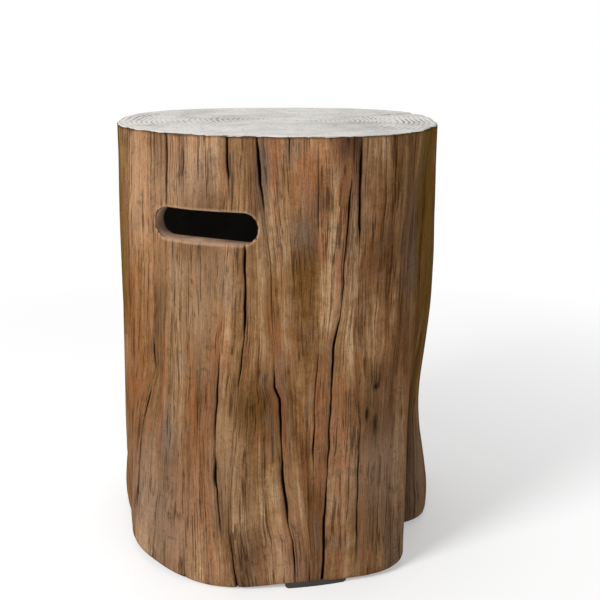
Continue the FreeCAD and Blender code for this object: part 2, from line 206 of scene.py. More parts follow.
# Grain lines
# Each line is its way up the trunk, as (azimuth, level), and its open stretches, as
# (low level, high level, width, depth). The wood grain follows all the lines.
GRAIN_LINES = [
    ([(-68, 0), (-66, 0.3), (-64, 0.6), (-63, 0.9), (-63.5, 1)],
     [(0.5, 1, 5, 6.5), (0.04, 0.44, 6, 7)]),
    ([(-58, 0), (-56.5, 0.12), (-55, 0.17), (-53, 0.3), (-45.5, 0.466), (-46.5, 0.54), (-47.5, 1)],
     [(0.09, 0.56, 7.5, 8)]),
    ([(-45.5, 0), (-43.5, 0.13), (-42, 0.21), (-41.5, 0.375), (-40.5, 0.6), (-40.5, 1)],
     [(0.84, 1, 7, 10), (0.13, 0.4, 3.6, 6), (0.02, 0.125, 3, 5)]),
    ([(-30.5, 0), (-31, 0.11), (-31.5, 0.5), (-33, 0.85), (-33, 1)],
     [(0.86, 1, 2.2, 4), (0, 0.12, 2.8, 4.5)]),
    ([(-17, 0), (-18, 0.105), (-19, 0.173), (-20.5, 0.242), (-20.5, 0.394), (-19, 0.54), (-16.5, 0.88),
      (-17, 1)], [(0.87, 1, 6, 9), (0.1, 0.55, 5, 8)]),
    ([(-13, 0), (-15.5, 0.13), (-14.5, 0.3), (-13, 0.455), (-11, 0.583), (-11, 0.77), (-10, 1)],
     [(0.44, 0.78, 6, 9), (0, 0.125, 5, 7)]),
    ([(6, 0), (5, 0.095), (3.5, 0.142), (1.8, 0.25), (0.9, 0.43), (-0.9, 0.46), (-1, 0.545), (-2, 0.66),
      (-2, 0.73), (-4.5, 0.845), (-5.5, 0.9), (-7, 1)],
     [(0.83, 1, 6, 9), (0.52, 0.86, 2, 3), (0, 0.53, 5.5, 9)]),
    ([(10.5, 0), (10.3, 0.07), (7.5, 0.25), (5, 0.6), (4, 1)],
     [(0.94, 1, 2.2, 3.5), (0, 0.07, 3, 4.5)]),
    ([(12.6, 0), (12, 0.15), (12, 0.29), (12.5, 0.42), (13.5, 0.52), (13.8, 0.65), (13.5, 0.8),
      (13, 1)], [(0.79, 0.985, 2.2, 3.5), (0.28, 0.53, 4.2, 6.5)]),
    ([(15, 0), (15.5, 0.12), (16.5, 0.24), (17.5, 0.39), (18, 0.44), (18.5, 0.55), (20.5, 0.61),
      (21, 0.65), (22.5, 0.79), (23.5, 0.89), (23.6, 1)], [(0, 0.9, 5.5, 9)]),
    ([(26.3, 0), (27.5, 0.33), (26.6, 0.55), (26.5, 0.77), (26.8, 1)],
     [(0.76, 1, 6, 9), (0.03, 0.34, 3.6, 5.5)]),
    ([(33.5, 0), (34.5, 0.3), (36.5, 0.6), (39.5, 0.86), (38.5, 1)],
     [(0.85, 1, 2.4, 3.5), (0.05, 0.2, 2.2, 3)]),
    ([(40, 0), (39.5, 0.3), (40, 0.49), (41.5, 0.54), (43, 0.656), (44, 0.76), (46, 0.89), (47, 1)],
     [(0.48, 1, 3.6, 6)]),
    ([(62, 0), (60, 0.2), (57, 0.35), (55, 0.5), (55, 0.64), (56, 0.75), (58, 0.87), (64, 1)],
     [(0.75, 1, 6, 8), (0.22, 0.8, 11, 8)]),
    ([(76, 0), (74, 0.3), (72, 0.6), (72, 1)], [(0.55, 0.9, 3, 5)]),
    ([(89, 0), (90, 0.5), (88, 1)], [(0.05, 0.35, 3, 5), (0.88, 1, 3, 5)]),
    ([(109, 0), (108, 0.3), (106, 0.62), (103, 0.8), (104, 1)], [(0.62, 1, 4.5, 6.5)]),
    ([(119, 0), (118, 0.4), (116, 1)], [(0.22, 0.5, 3, 5), (0.92, 1, 3, 5)]),
    ([(130, 0), (131, 0.2), (127, 0.45), (128, 0.7), (129, 1)], [(0, 0.7, 5, 8)]),
    ([(141, 0), (142, 0.5), (142, 0.84), (143, 1)], [(0.84, 1, 5.5, 8.5), (0.15, 0.5, 3, 4.5)]),
    ([(158, 0), (159, 0.5), (157, 1)], [(0, 0.3, 3.2, 5), (0.93, 1, 2.6, 4)]),
    ([(172, 0), (171, 0.3), (173, 0.6), (174, 1)], [(0, 0.6, 5.5, 9)]),
    ([(183, 0), (182, 0.3), (183, 0.6), (184, 1)], [(0.68, 1, 3.6, 6)]),
    ([(196, 0), (197, 0.5), (194, 0.75), (195, 1)], [(0.5, 1, 5.5, 9)]),
    ([(216, 0), (213, 0.3), (215, 0.6), (215, 1)], [(0, 0.6, 4.5, 7)]),
    ([(233, 0), (234, 0.4), (234, 0.82), (233, 1)], [(0.82, 1, 3.6, 6), (0.05, 0.45, 3, 5)]),
    ([(250, 0), (251, 0.25), (253, 0.5), (252, 1)], [(0.25, 0.8, 4.5, 7)]),
    ([(269, 0), (270, 0.3), (266, 0.6), (268, 0.9), (268, 1)], [(0, 0.9, 4.5, 7)]),
    ([(281, 0), (280, 0.2), (281, 0.85), (280, 1)], [(0.85, 1, 3.6, 6), (0.1, 0.3, 2.6, 4.5)]),
]


# Wander of the grain lines in degrees, and where each next line reads its ripples
BROAD_WANDER, FINE_WANDER = 0.20, 0.12
WANDER_STEP, ROUGH_STEP = 37, 53

# Shares of a crack's listed width and depth, its width at a closed end, and the end's length
WIDTH_SHARE, DEPTH_SHARE = 0.70, 0.8
END_WIDTH = 0.3
END_INSIDE, END_OUTSIDE = 0.06, 0.01


def line_azimuth(index, level, broad, fine):
    """Azimuth of a grain line at a level, with a fine wander."""
    azimuths, levels = zip(*GRAIN_LINES[index][0])
    place = index * WANDER_STEP
    shake = BROAD_WANDER * broad(place, level) + FINE_WANDER * fine(place, level)
    return np.interp(level, levels, azimuths) + shake


def line_opening(index, level, rough):
    """Open width and depth of a grain line at a level."""
    uneven = 0.72 + 0.5 * rough(index * ROUGH_STEP, level)
    width, depth = np.zeros_like(level), np.zeros_like(level)
    for low, high, most_width, most_depth in GRAIN_LINES[index][1]:
        ends = np.ones_like(level)
        if low > 0:
            ends = ends * smooth(level, low - END_OUTSIDE, low + END_INSIDE)
        if high < 1:
            ends = ends * (1 - smooth(level, high - END_INSIDE, high + END_OUTSIDE))
        open_share = END_WIDTH + (1 - END_WIDTH) * ends
        width = np.maximum(width, WIDTH_SHARE * most_width * open_share * uneven)
        depth = np.maximum(depth, DEPTH_SHARE * most_depth * np.sqrt(ends) * uneven)
    return width, depth


# Rows of the bark: their step, and the close rows at the rim, at the table top and on both
# sides of a hand hold's edge
ROW_STEP = 8.2
RIM_ROWS = (0, 1.2, 3, 6)
TOP_ROWS = (5, 3, 1.6, 0.6)
HOLD_ROWS = (-18.8, -14.6, -10.4, -7, -4.4, -2.4, -0.8, 0, 1, 2.2, 3.6, 5.2, 7, 9.2)
ROW_GAP = 3

# Columns of the bark: their step, and the close columns beside each grain line
COLUMN_STEP = 3.3
LINE_COLUMNS = np.array((0, 0.9, 1.9, 3.1, 4.7, 7))
MOST_OF_GAP = 0.42


def bark_levels():
    """Levels of the rows, close together at the rim, the table top and the hand holds."""
    half = HOLD_HEIGHT / 2
    clear = half + HOLD_ROWS[-1] + ROW_GAP
    heights = [one for one in np.arange(RIM + 10, HEIGHT - 8, ROW_STEP)
               if abs(one - HOLD_CENTRE) >= clear]
    heights += [HOLD_CENTRE + side * half + side * step for side in (-1, 1) for step in HOLD_ROWS]
    heights += [RIM + step for step in RIM_ROWS]
    heights += [HEIGHT - step for step in TOP_ROWS]
    return (np.array(sorted(heights)) - RIM) / TALL


def bark_columns():
    """Middle azimuth of each line, and for each column its line and share of the gap after it."""
    centres = [float(np.mean([point[0] for point in way])) for way, _ in GRAIN_LINES]
    to_degrees = math.degrees(1 / MEAN_RADIUS)
    offsets = LINE_COLUMNS * to_degrees
    lines, shares = [], []
    for line, centre in enumerate(centres):
        gap = (centres[(line + 1) % len(centres)] - centre) % 360
        reach = min(offsets[-1], MOST_OF_GAP * gap)
        near = offsets / offsets[-1] * reach
        inner = gap - 2 * reach
        count = max(1, int(round(inner / (COLUMN_STEP * to_degrees))))
        between = reach + inner * np.arange(1, count) / count
        stretch = np.concatenate([near, between, gap - near[:0:-1]]) / gap
        lines += [line] * len(stretch)
        shares += stretch.tolist()
    return centres, np.array(lines), np.array(shares)


# Mesh building
class Builder:
    """Collects points with their painted layers, and the faces between them."""

    def __init__(self):
        self.points, self.faces, self.materials = [], [], []
        self.layers = {"paint": [], "flow": [], "wash": [], "tint": []}
        self.count = 0

    def add(self, points, **painted):
        """Add points and return the first one's number. A layer that isn't given is zero."""
        start = self.count
        points = np.asarray(points, float).reshape(-1, 3)
        self.points.append(points)
        for name, blocks in self.layers.items():
            blocks.append(np.reshape(painted.get(name, np.zeros_like(points)), (-1, 3)))
        self.count += len(points)
        return start

    def grid(self, start, rows, columns, material, flip=False):
        """Faces of a grid that closes on itself along its rows."""
        row = np.arange(rows - 1)[:, None] * columns
        here = np.arange(columns)[None, :]
        ahead = (here + 1) % columns
        quad = np.stack([row + here, row + ahead, row + columns + ahead, row + columns + here], -1)
        quad = quad.reshape(-1, 4) + start
        if flip:
            quad = quad[:, ::-1]
        self.faces += quad.tolist()
        self.materials += [material] * len(quad)

    def fan(self, start, count, hub, material, flip=False):
        """Triangles from a closed ring of points to one point in its middle."""
        for place in range(count):
            here, ahead = start + place, start + (place + 1) % count
            self.faces.append([ahead, here, hub] if flip else [here, ahead, hub])
            self.materials.append(material)

    def zip_rings(self, first, first_angles, second, second_angles, material, flip=False):
        """Triangles between two closed rings of unlike counts, both in rising angle."""
        first_next = np.append(first_angles[1:], first_angles[0] + 360)
        second_next = np.append(second_angles[1:], second_angles[0] + 360)
        first_ring, second_ring = np.append(first, first[0]), np.append(second, second[0])
        here, there = 0, 0
        while here < len(first) or there < len(second):
            if there == len(second) or (here < len(first) and first_next[here] <= second_next[there]):
                face = [first_ring[here], first_ring[here + 1], second_ring[there]]
                here += 1
            else:
                face = [first_ring[here], second_ring[there + 1], second_ring[there]]
                there += 1
            self.faces.append(face[::-1] if flip else face)
            self.materials.append(material)


# Bark
# Knots and dents: azimuth, level, half width, half height and depth in millimetres
KNOTS = [
    (33, 0.451, 5, 4, 5),
    (35.5, 0.466, 4, 3, 3),
    (30, 0.385, 3, 6, 4),
    (33, 0.36, 4.5, 16, 2.4),
    (16.5, 0.586, 2.5, 5, 1.6),
    (-3.5, 0.078, 2.6, 2.6, 3.5),
    (-150, 0.62, 6, 12, 3),
    (98, 0.45, 5, 10, 3),
]

# Washes on the bark: azimuth, level, spread in degrees and in level, and how much of
# dark, red, grey, olive and pale, where what is left out at the end is zero. Most are paint; the
# dark at the foot of the cleft is painted shadow, and the dark near both side edges is partly
# painted shade.
WASHES = [
    (-53, 0.9, 7, 0.09, 0, 0.15, 0, 0, 0.7),
    (-26, 0.92, 6, 0.05, 0, 0, 0.35, 0, 0.5),
    (-31, 0.92, 4.5, 0.06, 0, 0, 0.25, 0, 0.9),
    (-4.6, 0.95, 1.8, 0.08, 0.25, 0, 0.7),
    (22.5, 0.98, 3.6, 0.04, 0.95, 0, 0.3),
    # The dark in the next three, beside their olive paint, is partly painted shade of the side edges
    (62, 0.84, 9, 0.3, 0.1, 0, 0, 1),
    (74, 0.6, 8, 0.45, 0.25, 0, 0, 0.8),
    (-76, 0.62, 7, 0.36, 0.35, 0, 0, 0.9),
    (-63, 0.4, 5, 0.22, 0.15, 0.9),
    # The dark of the next three is painted shadow down the cleft
    (60, 0.22, 3.5, 0.24, 1),
    (69, 0.2, 4, 0.26, 1),
    (56, 0.62, 1.6, 0.26, 0.8),
    (-46, 0.12, 13, 0.12, 0, 0, 0.5, 0, 0.5),
    (34, 0.24, 8, 0.1, 0, 0, 0.3, 0, 0.6),
    (70, 0.12, 9, 0.14, 0, 0, 0.6, 0, 0.45),
    (78, 0.15, 6, 0.16, 0, 0, 0.4, 0, 0.5),
    (-44, 0.88, 15, 0.09, 0, 0, 0, 0, 0.6),
    (-30, 0.7, 10, 0.05, 0, 0, 0, 0, 0.5),
    (66, 0.4, 12, 0.3, 0.35, 0.1, 0, 0.3),
    (-70, 0.74, 4, 0.22, 0.2, 0, 0, 0.7),
    (-57, 0.45, 4.5, 0.16, 0.15, 0.8, 0, 0.1),
    (7.5, 0.8, 3.5, 0.03, 0.15, 0, 0.55),
    (28, 0.9, 5, 0.06, 0.35, 0.3),
    (33, 0.74, 6, 0.06, 0.55, 0.3),
    (9.5, 0.91, 4, 0.06, 0, 0.7, 0, 0, 0.1),
    (14.5, 0.88, 1.6, 0.03, 0.7, 0, 0, 0.2),
    (34, 0.45, 3.2, 0.03, 0.8, 0, 0.2),
    (32, 0.375, 4.5, 0.055, 0.75, 0.1, 0.1, 0.2),
    (-9, 0.41, 5, 0.035, 0.65, 0, 0, 0.45),
    (-20, 0.72, 5, 0.09, 0, 0.1, 0, 0, 0.45),
    (-66, 0.84, 2.6, 0.16, 0.35, 0, 0, 0.5),
    (-38.5, 0.32, 3.2, 0.06, 0.4, 0, 0.9),
    (-29, 0.17, 6, 0.1, 0, 0.6, 0, 0, 0.25),
    (-9.5, 0.07, 3.2, 0.06, 0.7, 0, 0.3),
    (-10, 0.22, 4, 0.08, 0.45, 0, 0, 0.25),
    (-6.5, 0.26, 4, 0.1, 0.42, 0.15, 0, 0.1),
    (44, 0.05, 5, 0.06, 0.3, 0, 0.8),
    (18, 0.34, 5, 0.1, 0, 0.75, 0, 0, 0.1),
    (5, 0.08, 5, 0.07, 0, 0.65, 0.1, 0, 0.1),
    (33, 0.13, 5, 0.07, 0.35, 0.1, 0.1, 0.15, 0.25),
    (2.5, 0.58, 3.5, 0.1, 0.15, 0.3),
    (-30, 0.62, 8, 0.1, 0, 0, 0.1, 0.1, 0.45),
    (-17, 0.28, 5, 0.12, 0, 0, 0, 0, 0.45),
    (44, 0.57, 5, 0.1, 0.45, 0.35),
    (47, 0.74, 3, 0.12, 0.2, 0, 0.55),
    (-46, 0.8, 6, 0.05, 0.1, 0.45),
    (6, 0.7, 7, 0.07, 0.25, 0, 0, 0.2),
    (-44, 0.06, 9, 0.07, 0.1, 0.2, 0.3, 0, 0.2),
    (3.5, 0.03, 6, 0.05, 0, 0.2, 0, 0, 0.55),
]

# Random washes on the far side: how many, then the ends between which their azimuth, amounts,
# level and two spreads lie
HIDDEN_WASHES = 46
HIDDEN_SPOT, HIDDEN_AMOUNT = (78, 286), (-0.55, 0.85)
HIDDEN_SHAPE = ((0, 1), (3, 9), (0.04, 0.16))

# Steps up the trunk in which each strip between two grain lines changes its tone
STRIP_STEPS = 5

# Ridges of the grain and lumps: size in millimetres, and count round and up the trunk
RIDGES = ((0.55, 150, 5), (0.42, 330, 7), (1.3, 46, 4))
LUMPS = ((1.8, 18, 5), (1.3, 34, 10))
BARK_DEPTH = 1.9

# Beside a crack: its sunken shoulder's share of the depth and reach, and its dark halo's reach.
# Then the depths at which a groove's painted shade and a halo are painted as 1, and a knot's
# painted shade as a half.
SHOULDER_SHARE, SHOULDER_REACH, HALO_REACH = 0.14, 6, 9
DARK_DEPTH, HALO_DEPTH, KNOT_DEPTH = 6, 9, 3
LEAST_HALF_WIDTH = 0.05


class Bark:
    """Rows and columns of bark points, carved step by step below the trunk's form."""

    def __init__(self):
        levels = bark_levels()
        centres, self.line, self.share = bark_columns()
        broad, fine, rough = Ripple(360, 22), Ripple(360, 60), Ripple(360, 16)
        numbers = range(len(GRAIN_LINES))
        lines = np.array([line_azimuth(number, levels, broad, fine) for number in numbers])
        self.openings = [line_opening(number, levels, rough) for number in numbers]
        self.lines = np.vstack([lines, lines[:1] + 360])
        centres = np.array(centres + [centres[0] + 360])
        line, share = self.line, self.share[:, None]
        reference = centres[line] * (1 - self.share) + centres[line + 1] * self.share
        self.azimuth = (self.lines[line] * (1 - share) + self.lines[line + 1] * share).T
        self.level = np.repeat(levels[:, None], len(line), 1)
        self.grain_azimuth = np.repeat(reference[None, :], len(levels), 0)
        self.radius = trunk_radius(self.azimuth, self.level)
        self.height = RIM + self.level * TALL
        self.hollow_shade, self.halo, self.lip = (np.zeros_like(self.radius) for _ in range(3))

    def carve_ridges(self):
        """Long soft ridges of the grain, lumps, and a crown between each two grain lines."""
        grain = rippled(RIDGES, self.grain_azimuth, self.level)
        lumps = rippled(LUMPS, self.azimuth, self.level)
        crown = (4 * self.share * (1 - self.share)) ** 0.5
        calm = 0.35 + 0.65 * smooth(self.level, 0, 0.05)
        self.depth = BARK_DEPTH - calm * (0.75 * grain + 0.7 * lumps + 0.9 * crown[None, :])

    def open_cracks(self):
        """Drying cracks along the grain lines."""
        for line, (width, deep) in zip(self.lines, self.openings):
            deep = deep[:, None]
            away = np.abs(np.radians(away_from(self.azimuth, line[:, None])) * self.radius)
            half = np.maximum(0.5 * width[:, None], LEAST_HALF_WIDTH)
            groove = np.clip(1 - away / half, 0, 1) ** 0.8 * deep
            shoulder = SHOULDER_SHARE * deep * bell(away, SHOULDER_REACH)
            self.depth = self.depth + groove + shoulder
            # Painted shade in the crack's hollow
            self.hollow_shade = np.maximum(self.hollow_shade, groove / DARK_DEPTH)
            self.halo = np.maximum(self.halo, bell(away, HALO_REACH) * deep / HALO_DEPTH)

    def press_knots(self):
        """Knots, a gouge and a pit."""
        for knot_azimuth, knot_level, wide, tall, deep in KNOTS:
            aside = np.radians(away_from(self.azimuth, knot_azimuth)) * self.radius / wide
            above = (self.level - knot_level) * TALL / tall
            dip = np.exp(-(aside ** 2 + above ** 2))
            self.depth = self.depth + deep * dip
            # Painted shade in the knot's hollow
            self.hollow_shade = np.maximum(self.hollow_shade, 0.5 * dip * deep / KNOT_DEPTH)

    def round_edges(self):
        """Rounded lower edge, and a ragged upper edge that is worn where cracks cross it."""
        ragged = 1 + 0.5 * Ripple(90, 1)(self.azimuth, self.level)
        edge, at_top = self.azimuth[-1], np.ones(self.azimuth.shape[1])
        worn = 0.7 + 0.45 * Ripple(110, 1)(edge, at_top) + 0.4 * Ripple(360, 1)(edge, at_top)
        worn = worn + 2.2 * np.clip(self.hollow_shade[-1], 0, 1)
        self.height = self.height - np.clip(worn, 0, 3)[None, :] * smooth(self.level, 0.975, 1)
        below, above = HEIGHT - self.height, self.height - RIM
        self.depth = self.depth + rounded(below, TOP_ROUND * ragged) + rounded(above, RIM_ROUND)

    def round_holds(self):
        """Rounded edges and worn paint round the hand holds."""
        for hold in HOLD_AZIMUTHS:
            distance = hold_distance(self.azimuth, self.radius, self.height, hold)
            self.depth = self.depth + rounded(distance, HOLD_ROUND) * 0.9
            self.lip = np.maximum(self.lip, 1 - smooth(distance, 0.8, 5.2))

    def drop_roots(self):
        """Roots whose lower edge reaches below the rim."""
        drop = sum(most * hump(self.azimuth, spot, spread) for spot, spread, most in RIM_DIPS)
        self.height = self.height - drop * (1 - smooth(self.level, 0, DIP_LEVEL))

    def washes(self):
        """Painted amounts, three by three: dark, red and grey, then olive, pale and strip tone. The
        dark is partly painted shade.
        """
        washes = list(WASHES)
        for _ in range(HIDDEN_WASHES):
            spot, amounts = RANDOM.uniform(*HIDDEN_SPOT), RANDOM.uniform(*HIDDEN_AMOUNT, 5)
            lift, wide, tall = (RANDOM.uniform(*ends) for ends in HIDDEN_SHAPE)
            washes.append((spot, lift, wide, tall, *np.clip(amounts, 0, 1)))
        azimuth, level = self.azimuth, self.level
        uneven = 1.05 + 0.3 * Ripple(120, 10)(azimuth, level) + 0.25 * Ripple(44, 16)(azimuth, level)
        layers = np.zeros((5,) + azimuth.shape)
        for spot, lift, wide, tall, *amounts in washes:
            mask = hump(azimuth, spot, wide) * np.exp(-0.5 * ((level - lift) / tall) ** 2) * uneven
            for layer, amount in enumerate(amounts):
                layers[layer] = np.maximum(layers[layer], amount * mask)
        tones = RANDOM.uniform(-1, 1, (len(GRAIN_LINES), STRIP_STEPS + 2))
        rise = level * STRIP_STEPS
        low = np.floor(rise).astype(int)
        blend = smooth(rise - low, 0, 1)
        strip = tones[self.line, low] * (1 - blend) + tones[self.line, low + 1] * blend
        strip = strip * (4 * self.share * (1 - self.share)) ** 0.35
        dark, red, grey, olive, pale = np.clip(layers, 0, 1)
        strip = np.clip(0.5 + 0.5 * strip, 0, 1)
        return np.stack([dark, red, grey], -1), np.stack([olive, pale, strip], -1)

    def add_to(self, builder):
        """Put the carved bark into the mesh."""
        self.carve_ridges()
        self.open_cracks()
        self.press_knots()
        self.round_edges()
        self.round_holds()
        self.drop_roots()
        self.outer = self.radius - self.depth
        wash, tint = self.washes()
        turn = np.radians(self.grain_azimuth)
        flow = np.stack([MEAN_RADIUS * np.sin(turn), -MEAN_RADIUS * np.cos(turn), self.height], -1)
        paint = np.stack([self.hollow_shade, self.halo, self.lip], -1)
        points = in_place(self.azimuth, self.outer, self.height)
        self.start = builder.add(points, paint=paint, flow=flow, wash=wash, tint=tint)
        builder.grid(self.start, *self.outer.shape, BARK)

    def ring(self, row):
        """Numbers, azimuths and radii of one row's points, from the lowest azimuth up."""
        rows, columns = self.outer.shape
        numbers = self.start + row % rows * columns + np.arange(columns)
        azimuth = self.azimuth[row] % 360
        order = -int(np.argmin(azimuth))
        return [np.roll(values, order) for values in (numbers, azimuth, self.outer[row])]


# Sawn top
# The pith lies off the middle. Ring pitch and shares are parts of the radius. The first rows
# of points lie close to the bark's edge.
PITH_X, PITH_Y = 8, 10
RING_PITCH, ROWS_PER_RING = 0.0315, 5.3
EDGE_SHARES = (0.994, 0.987)
RINGS, RING_WOBBLE = Ripple(14, 6), Ripple(40, 10)
SPOKES = 128

# Radial checks: azimuth, and the shares of the radius where each begins and is at its deepest
TOP_CHECKS = ((10, 0.35, 1), (-64, 0.62, 1), (118, 0.55, 1), (196, 0.7, 1))
CHECK_DEPTH, CHECK_WIDTH = 1.3, 2.4


def top_relief(azimuth, share):
    """Depth of the carved growth rings and of the fine radial checks."""
    warp = share + 0.018 * RINGS(azimuth, share) + 0.004 * RING_WOBBLE(azimuth, share)
    wave = 0.5 + 0.5 * np.cos(2 * math.pi * warp / RING_PITCH)
    relief = 0.25 + 0.75 * wave ** 1.5 * (0.7 + 0.5 * RING_WOBBLE(azimuth + 90, share))
    for check_azimuth, low, high in TOP_CHECKS:
        away = np.radians(away_from(azimuth, check_azimuth)) * share * MEAN_RADIUS
        relief = relief + CHECK_DEPTH * bell(away, CHECK_WIDTH) * smooth(share, low, high)
    return relief


def add_top(builder, bark):
    """Rings of points from the bark's upper edge to the pith."""
    edge, edge_azimuth, edge_radius = bark.ring(-1)
    spoke_azimuth = 360 * np.arange(SPOKES) / SPOKES
    radius = np.interp(spoke_azimuth, edge_azimuth, edge_radius, period=360)
    shares = np.concatenate([EDGE_SHARES, np.arange(0.980, 0.02, -RING_PITCH / ROWS_PER_RING)])
    azimuth, share = np.meshgrid(spoke_azimuth, shares)
    carve = top_relief(azimuth, share)
    points = in_place(azimuth, radius[None, :] * share, HEIGHT - carve)
    points[..., :2] += (1 - share[..., None]) * np.array([PITH_X, PITH_Y])
    top = builder.add(points, paint=np.stack([carve, share, np.zeros_like(share)], -1))
    builder.zip_rings(edge, edge_azimuth, top + np.arange(SPOKES), spoke_azimuth, TOP)
    builder.grid(top, len(shares), SPOKES, TOP)
    pith = builder.add([PITH_X, AXIS_Y + PITH_Y, HEIGHT - 0.8], paint=[1, 0, 0])
    builder.fan(top + (len(shares) - 1) * SPOKES, SPOKES, pith, TOP)


# Inside
INNER_COLUMNS = 168
CEILING = HEIGHT - TOP_THICKNESS
CEILING_SHARES = (0.9, 0.7, 0.45, 0.2)
CEILING_FILLET, RIM_FILLET = 4, 3
HOLD_ZONE = 50


def inner_lifts():
    """Heights of the rows inside, close together at the hand holds."""
    zone_low, zone_high = HOLD_CENTRE - HOLD_ZONE, HOLD_CENTRE + HOLD_ZONE
    lower = np.arange(RIM + 14, zone_low - 5, 19)
    middle = np.arange(zone_low, zone_high + 1, 5)
    upper = np.arange(zone_high + 8, CEILING - 6, 10)
    return [RIM, RIM + 4, *lower, *middle, *upper, CEILING - 4, CEILING]


def inner_radius(azimuth, lift):
    """Distance from the trunk axis to the plain cast inside, with flat bosses at the holds."""
    level = (lift - RIM) / TALL
    trunk = trunk_radius(azimuth, level)
    slope = np.gradient(trunk, np.radians(360 / INNER_COLUMNS), axis=1)
    lean = np.minimum(np.hypot(1, slope / trunk), MOST_LEAN)
    thick = (WALL + RIM_EXTRA * bell(lift, RIM_EXTRA_HEIGHT)) * lean
    ceiling_fillet = np.clip(CEILING_FILLET - (CEILING - lift), 0, CEILING_FILLET)
    thick += ceiling_fillet * 1.5 + np.clip(RIM_FILLET - (lift - RIM), 0, RIM_FILLET)
    radius = trunk - thick + 0.5 * Ripple(40, 12)(azimuth, level)
    for hold in HOLD_AZIMUTHS:
        distance = hold_distance(azimuth, trunk, lift, hold)
        flat = trunk_radius(np.array(hold), (HOLD_CENTRE - RIM) / TALL) - HOLD_LIP
        plane = flat / np.maximum(np.cos(np.radians(azimuth - hold)), 0.2)
        blend = 1 - smooth(distance, HOLD_MARGIN - 4, HOLD_MARGIN + 8)
        radius = radius * (1 - blend) + np.minimum(radius, plane) * blend
    return radius


def add_inside(builder, bark):
    """Plain cast inside, from the rim up to the underside of the top."""
    turns, lifts = 360 * np.arange(INNER_COLUMNS) / INNER_COLUMNS, inner_lifts()
    column = np.arange(INNER_COLUMNS)
    azimuth, lift = np.meshgrid(turns, lifts)
    radius = inner_radius(azimuth, lift)
    inner = builder.add(in_place(azimuth, radius, lift))
    builder.grid(inner, len(lifts), INNER_COLUMNS, CAST, flip=True)
    rim, rim_azimuth, _ = bark.ring(0)
    builder.zip_rings(rim, rim_azimuth, inner + column, turns, CAST, flip=True)
    azimuth, share = np.meshgrid(turns, CEILING_SHARES)
    points = in_place(azimuth, radius[-1] * share, np.full_like(share, CEILING))
    roof = builder.add(points)
    last = inner + (len(lifts) - 1) * INNER_COLUMNS
    builder.zip_rings(last + column, turns, roof + column, turns, CAST, flip=True)
    builder.grid(roof, len(CEILING_SHARES), INNER_COLUMNS, CAST, flip=True)
    hub = builder.add([0, AXIS_Y, CEILING])
    last = roof + (len(CEILING_SHARES) - 1) * INNER_COLUMNS
    builder.fan(last, INNER_COLUMNS, hub, CAST, flip=True)


# Objects
def new_object(name, points, faces):
    """An object in the scene, made from points in millimetres and faces."""
    mesh = bpy.data.meshes.new(name)
    mesh.from_pydata((np.asarray(points) * MM).tolist(), [], faces)
    mesh.update()
    made = bpy.data.objects.new(name, mesh)
    bpy.context.scene.collection.objects.link(made)
    return made


def build_shell():
    """The shell before its openings are cut: bark, top and inside as one closed mesh."""
    builder = Builder()
    bark = Bark()
    bark.add_to(builder)
    add_top(builder, bark)
    add_inside(builder, bark)
    shell = new_object("stump", np.vstack(builder.points), builder.faces)
    shell.data.polygons.foreach_set("material_index", builder.materials)
    shell.data.polygons.foreach_set("use_smooth", [True] * len(builder.faces))
    for name, blocks in builder.layers.items():
        layer = shell.data.attributes.new(name, "FLOAT_VECTOR", "POINT")
        layer.data.foreach_set("vector", np.vstack(blocks).astype(np.float32).ravel())
    return shell


# Openings in the wall
CUTTER_ENDS = (150, 290)
HOLD_ARC_POINTS, HOSE_ARC_POINTS = 17, 25


def hold_outline():
    """Outline of a hand hold, as distance aside and height."""
    half = HOLD_HEIGHT / 2
    straight = HOLD_LENGTH / 2 - half
    turns = np.linspace(-math.pi / 2, math.pi / 2, HOLD_ARC_POINTS)
    right = [(straight + half * math.cos(turn), half * math.sin(turn)) for turn in turns]
    return [(side * aside, HOLD_CENTRE + side * above) for side in (1, -1)
            for aside, above in right]


def hose_outline():
    """Arch of the hose passage, from below the rim, as distance aside and height."""
    half = HOSE_WIDTH / 2
    turns = np.linspace(0, math.pi, HOSE_ARC_POINTS)
    arch = [(half * math.cos(turn), HOSE_HEIGHT - half + half * math.sin(turn)) for turn in turns]
    return [(half, 0)] + arch + [(-half, 0)]


def wall_cutter(name, azimuth, outline):
    """A prism of an outline that passes through the wall at an azimuth."""
    turn = math.radians(azimuth)
    points = []
    for reach in CUTTER_ENDS:
        for across, height in outline:
            x = across * math.cos(turn) + reach * math.sin(turn)
            y = across * math.sin(turn) - reach * math.cos(turn)
            points.append((x, y + AXIS_Y, height))
    count = len(outline)
    faces = [list(range(count))[::-1], list(range(count, 2 * count))]
    for here in range(count):
        ahead = (here + 1) % count
        faces.append([here, ahead, count + ahead, count + here])
    return new_object(name, points, faces)


def cut(stump, name, azimuth, outline, material):
    """Cut an outline through the wall and give the cut faces one of the stump's materials."""
    cutter = wall_cutter(name, azimuth, outline)
    cutter.data.materials.append(stump.data.materials[material])
    modifier = stump.modifiers.new(name, "BOOLEAN")
    modifier.operation = "DIFFERENCE"
    modifier.solver = "MANIFOLD"
    modifier.object = cutter
    depsgraph = bpy.context.evaluated_depsgraph_get()
    carved = bpy.data.meshes.new_from_object(stump.evaluated_get(depsgraph))
    stump.modifiers.clear()
    stump.data = carved
    bpy.data.objects.remove(cutter)


# Materials
def linear(*colour):
    """Linear colour from the 0 to 255 values of a screen colour."""
    parts = np.array(colour) / 255
    curve = np.where(parts <= 0.04045, parts / 12.92, ((parts + 0.055) / 1.055) ** 2.4)
    return (*curve.tolist(), 1)


# Sockets of a mix node that mixes colours
FACTOR, FIRST, SECOND, MIXED = 0, 6, 7, 2


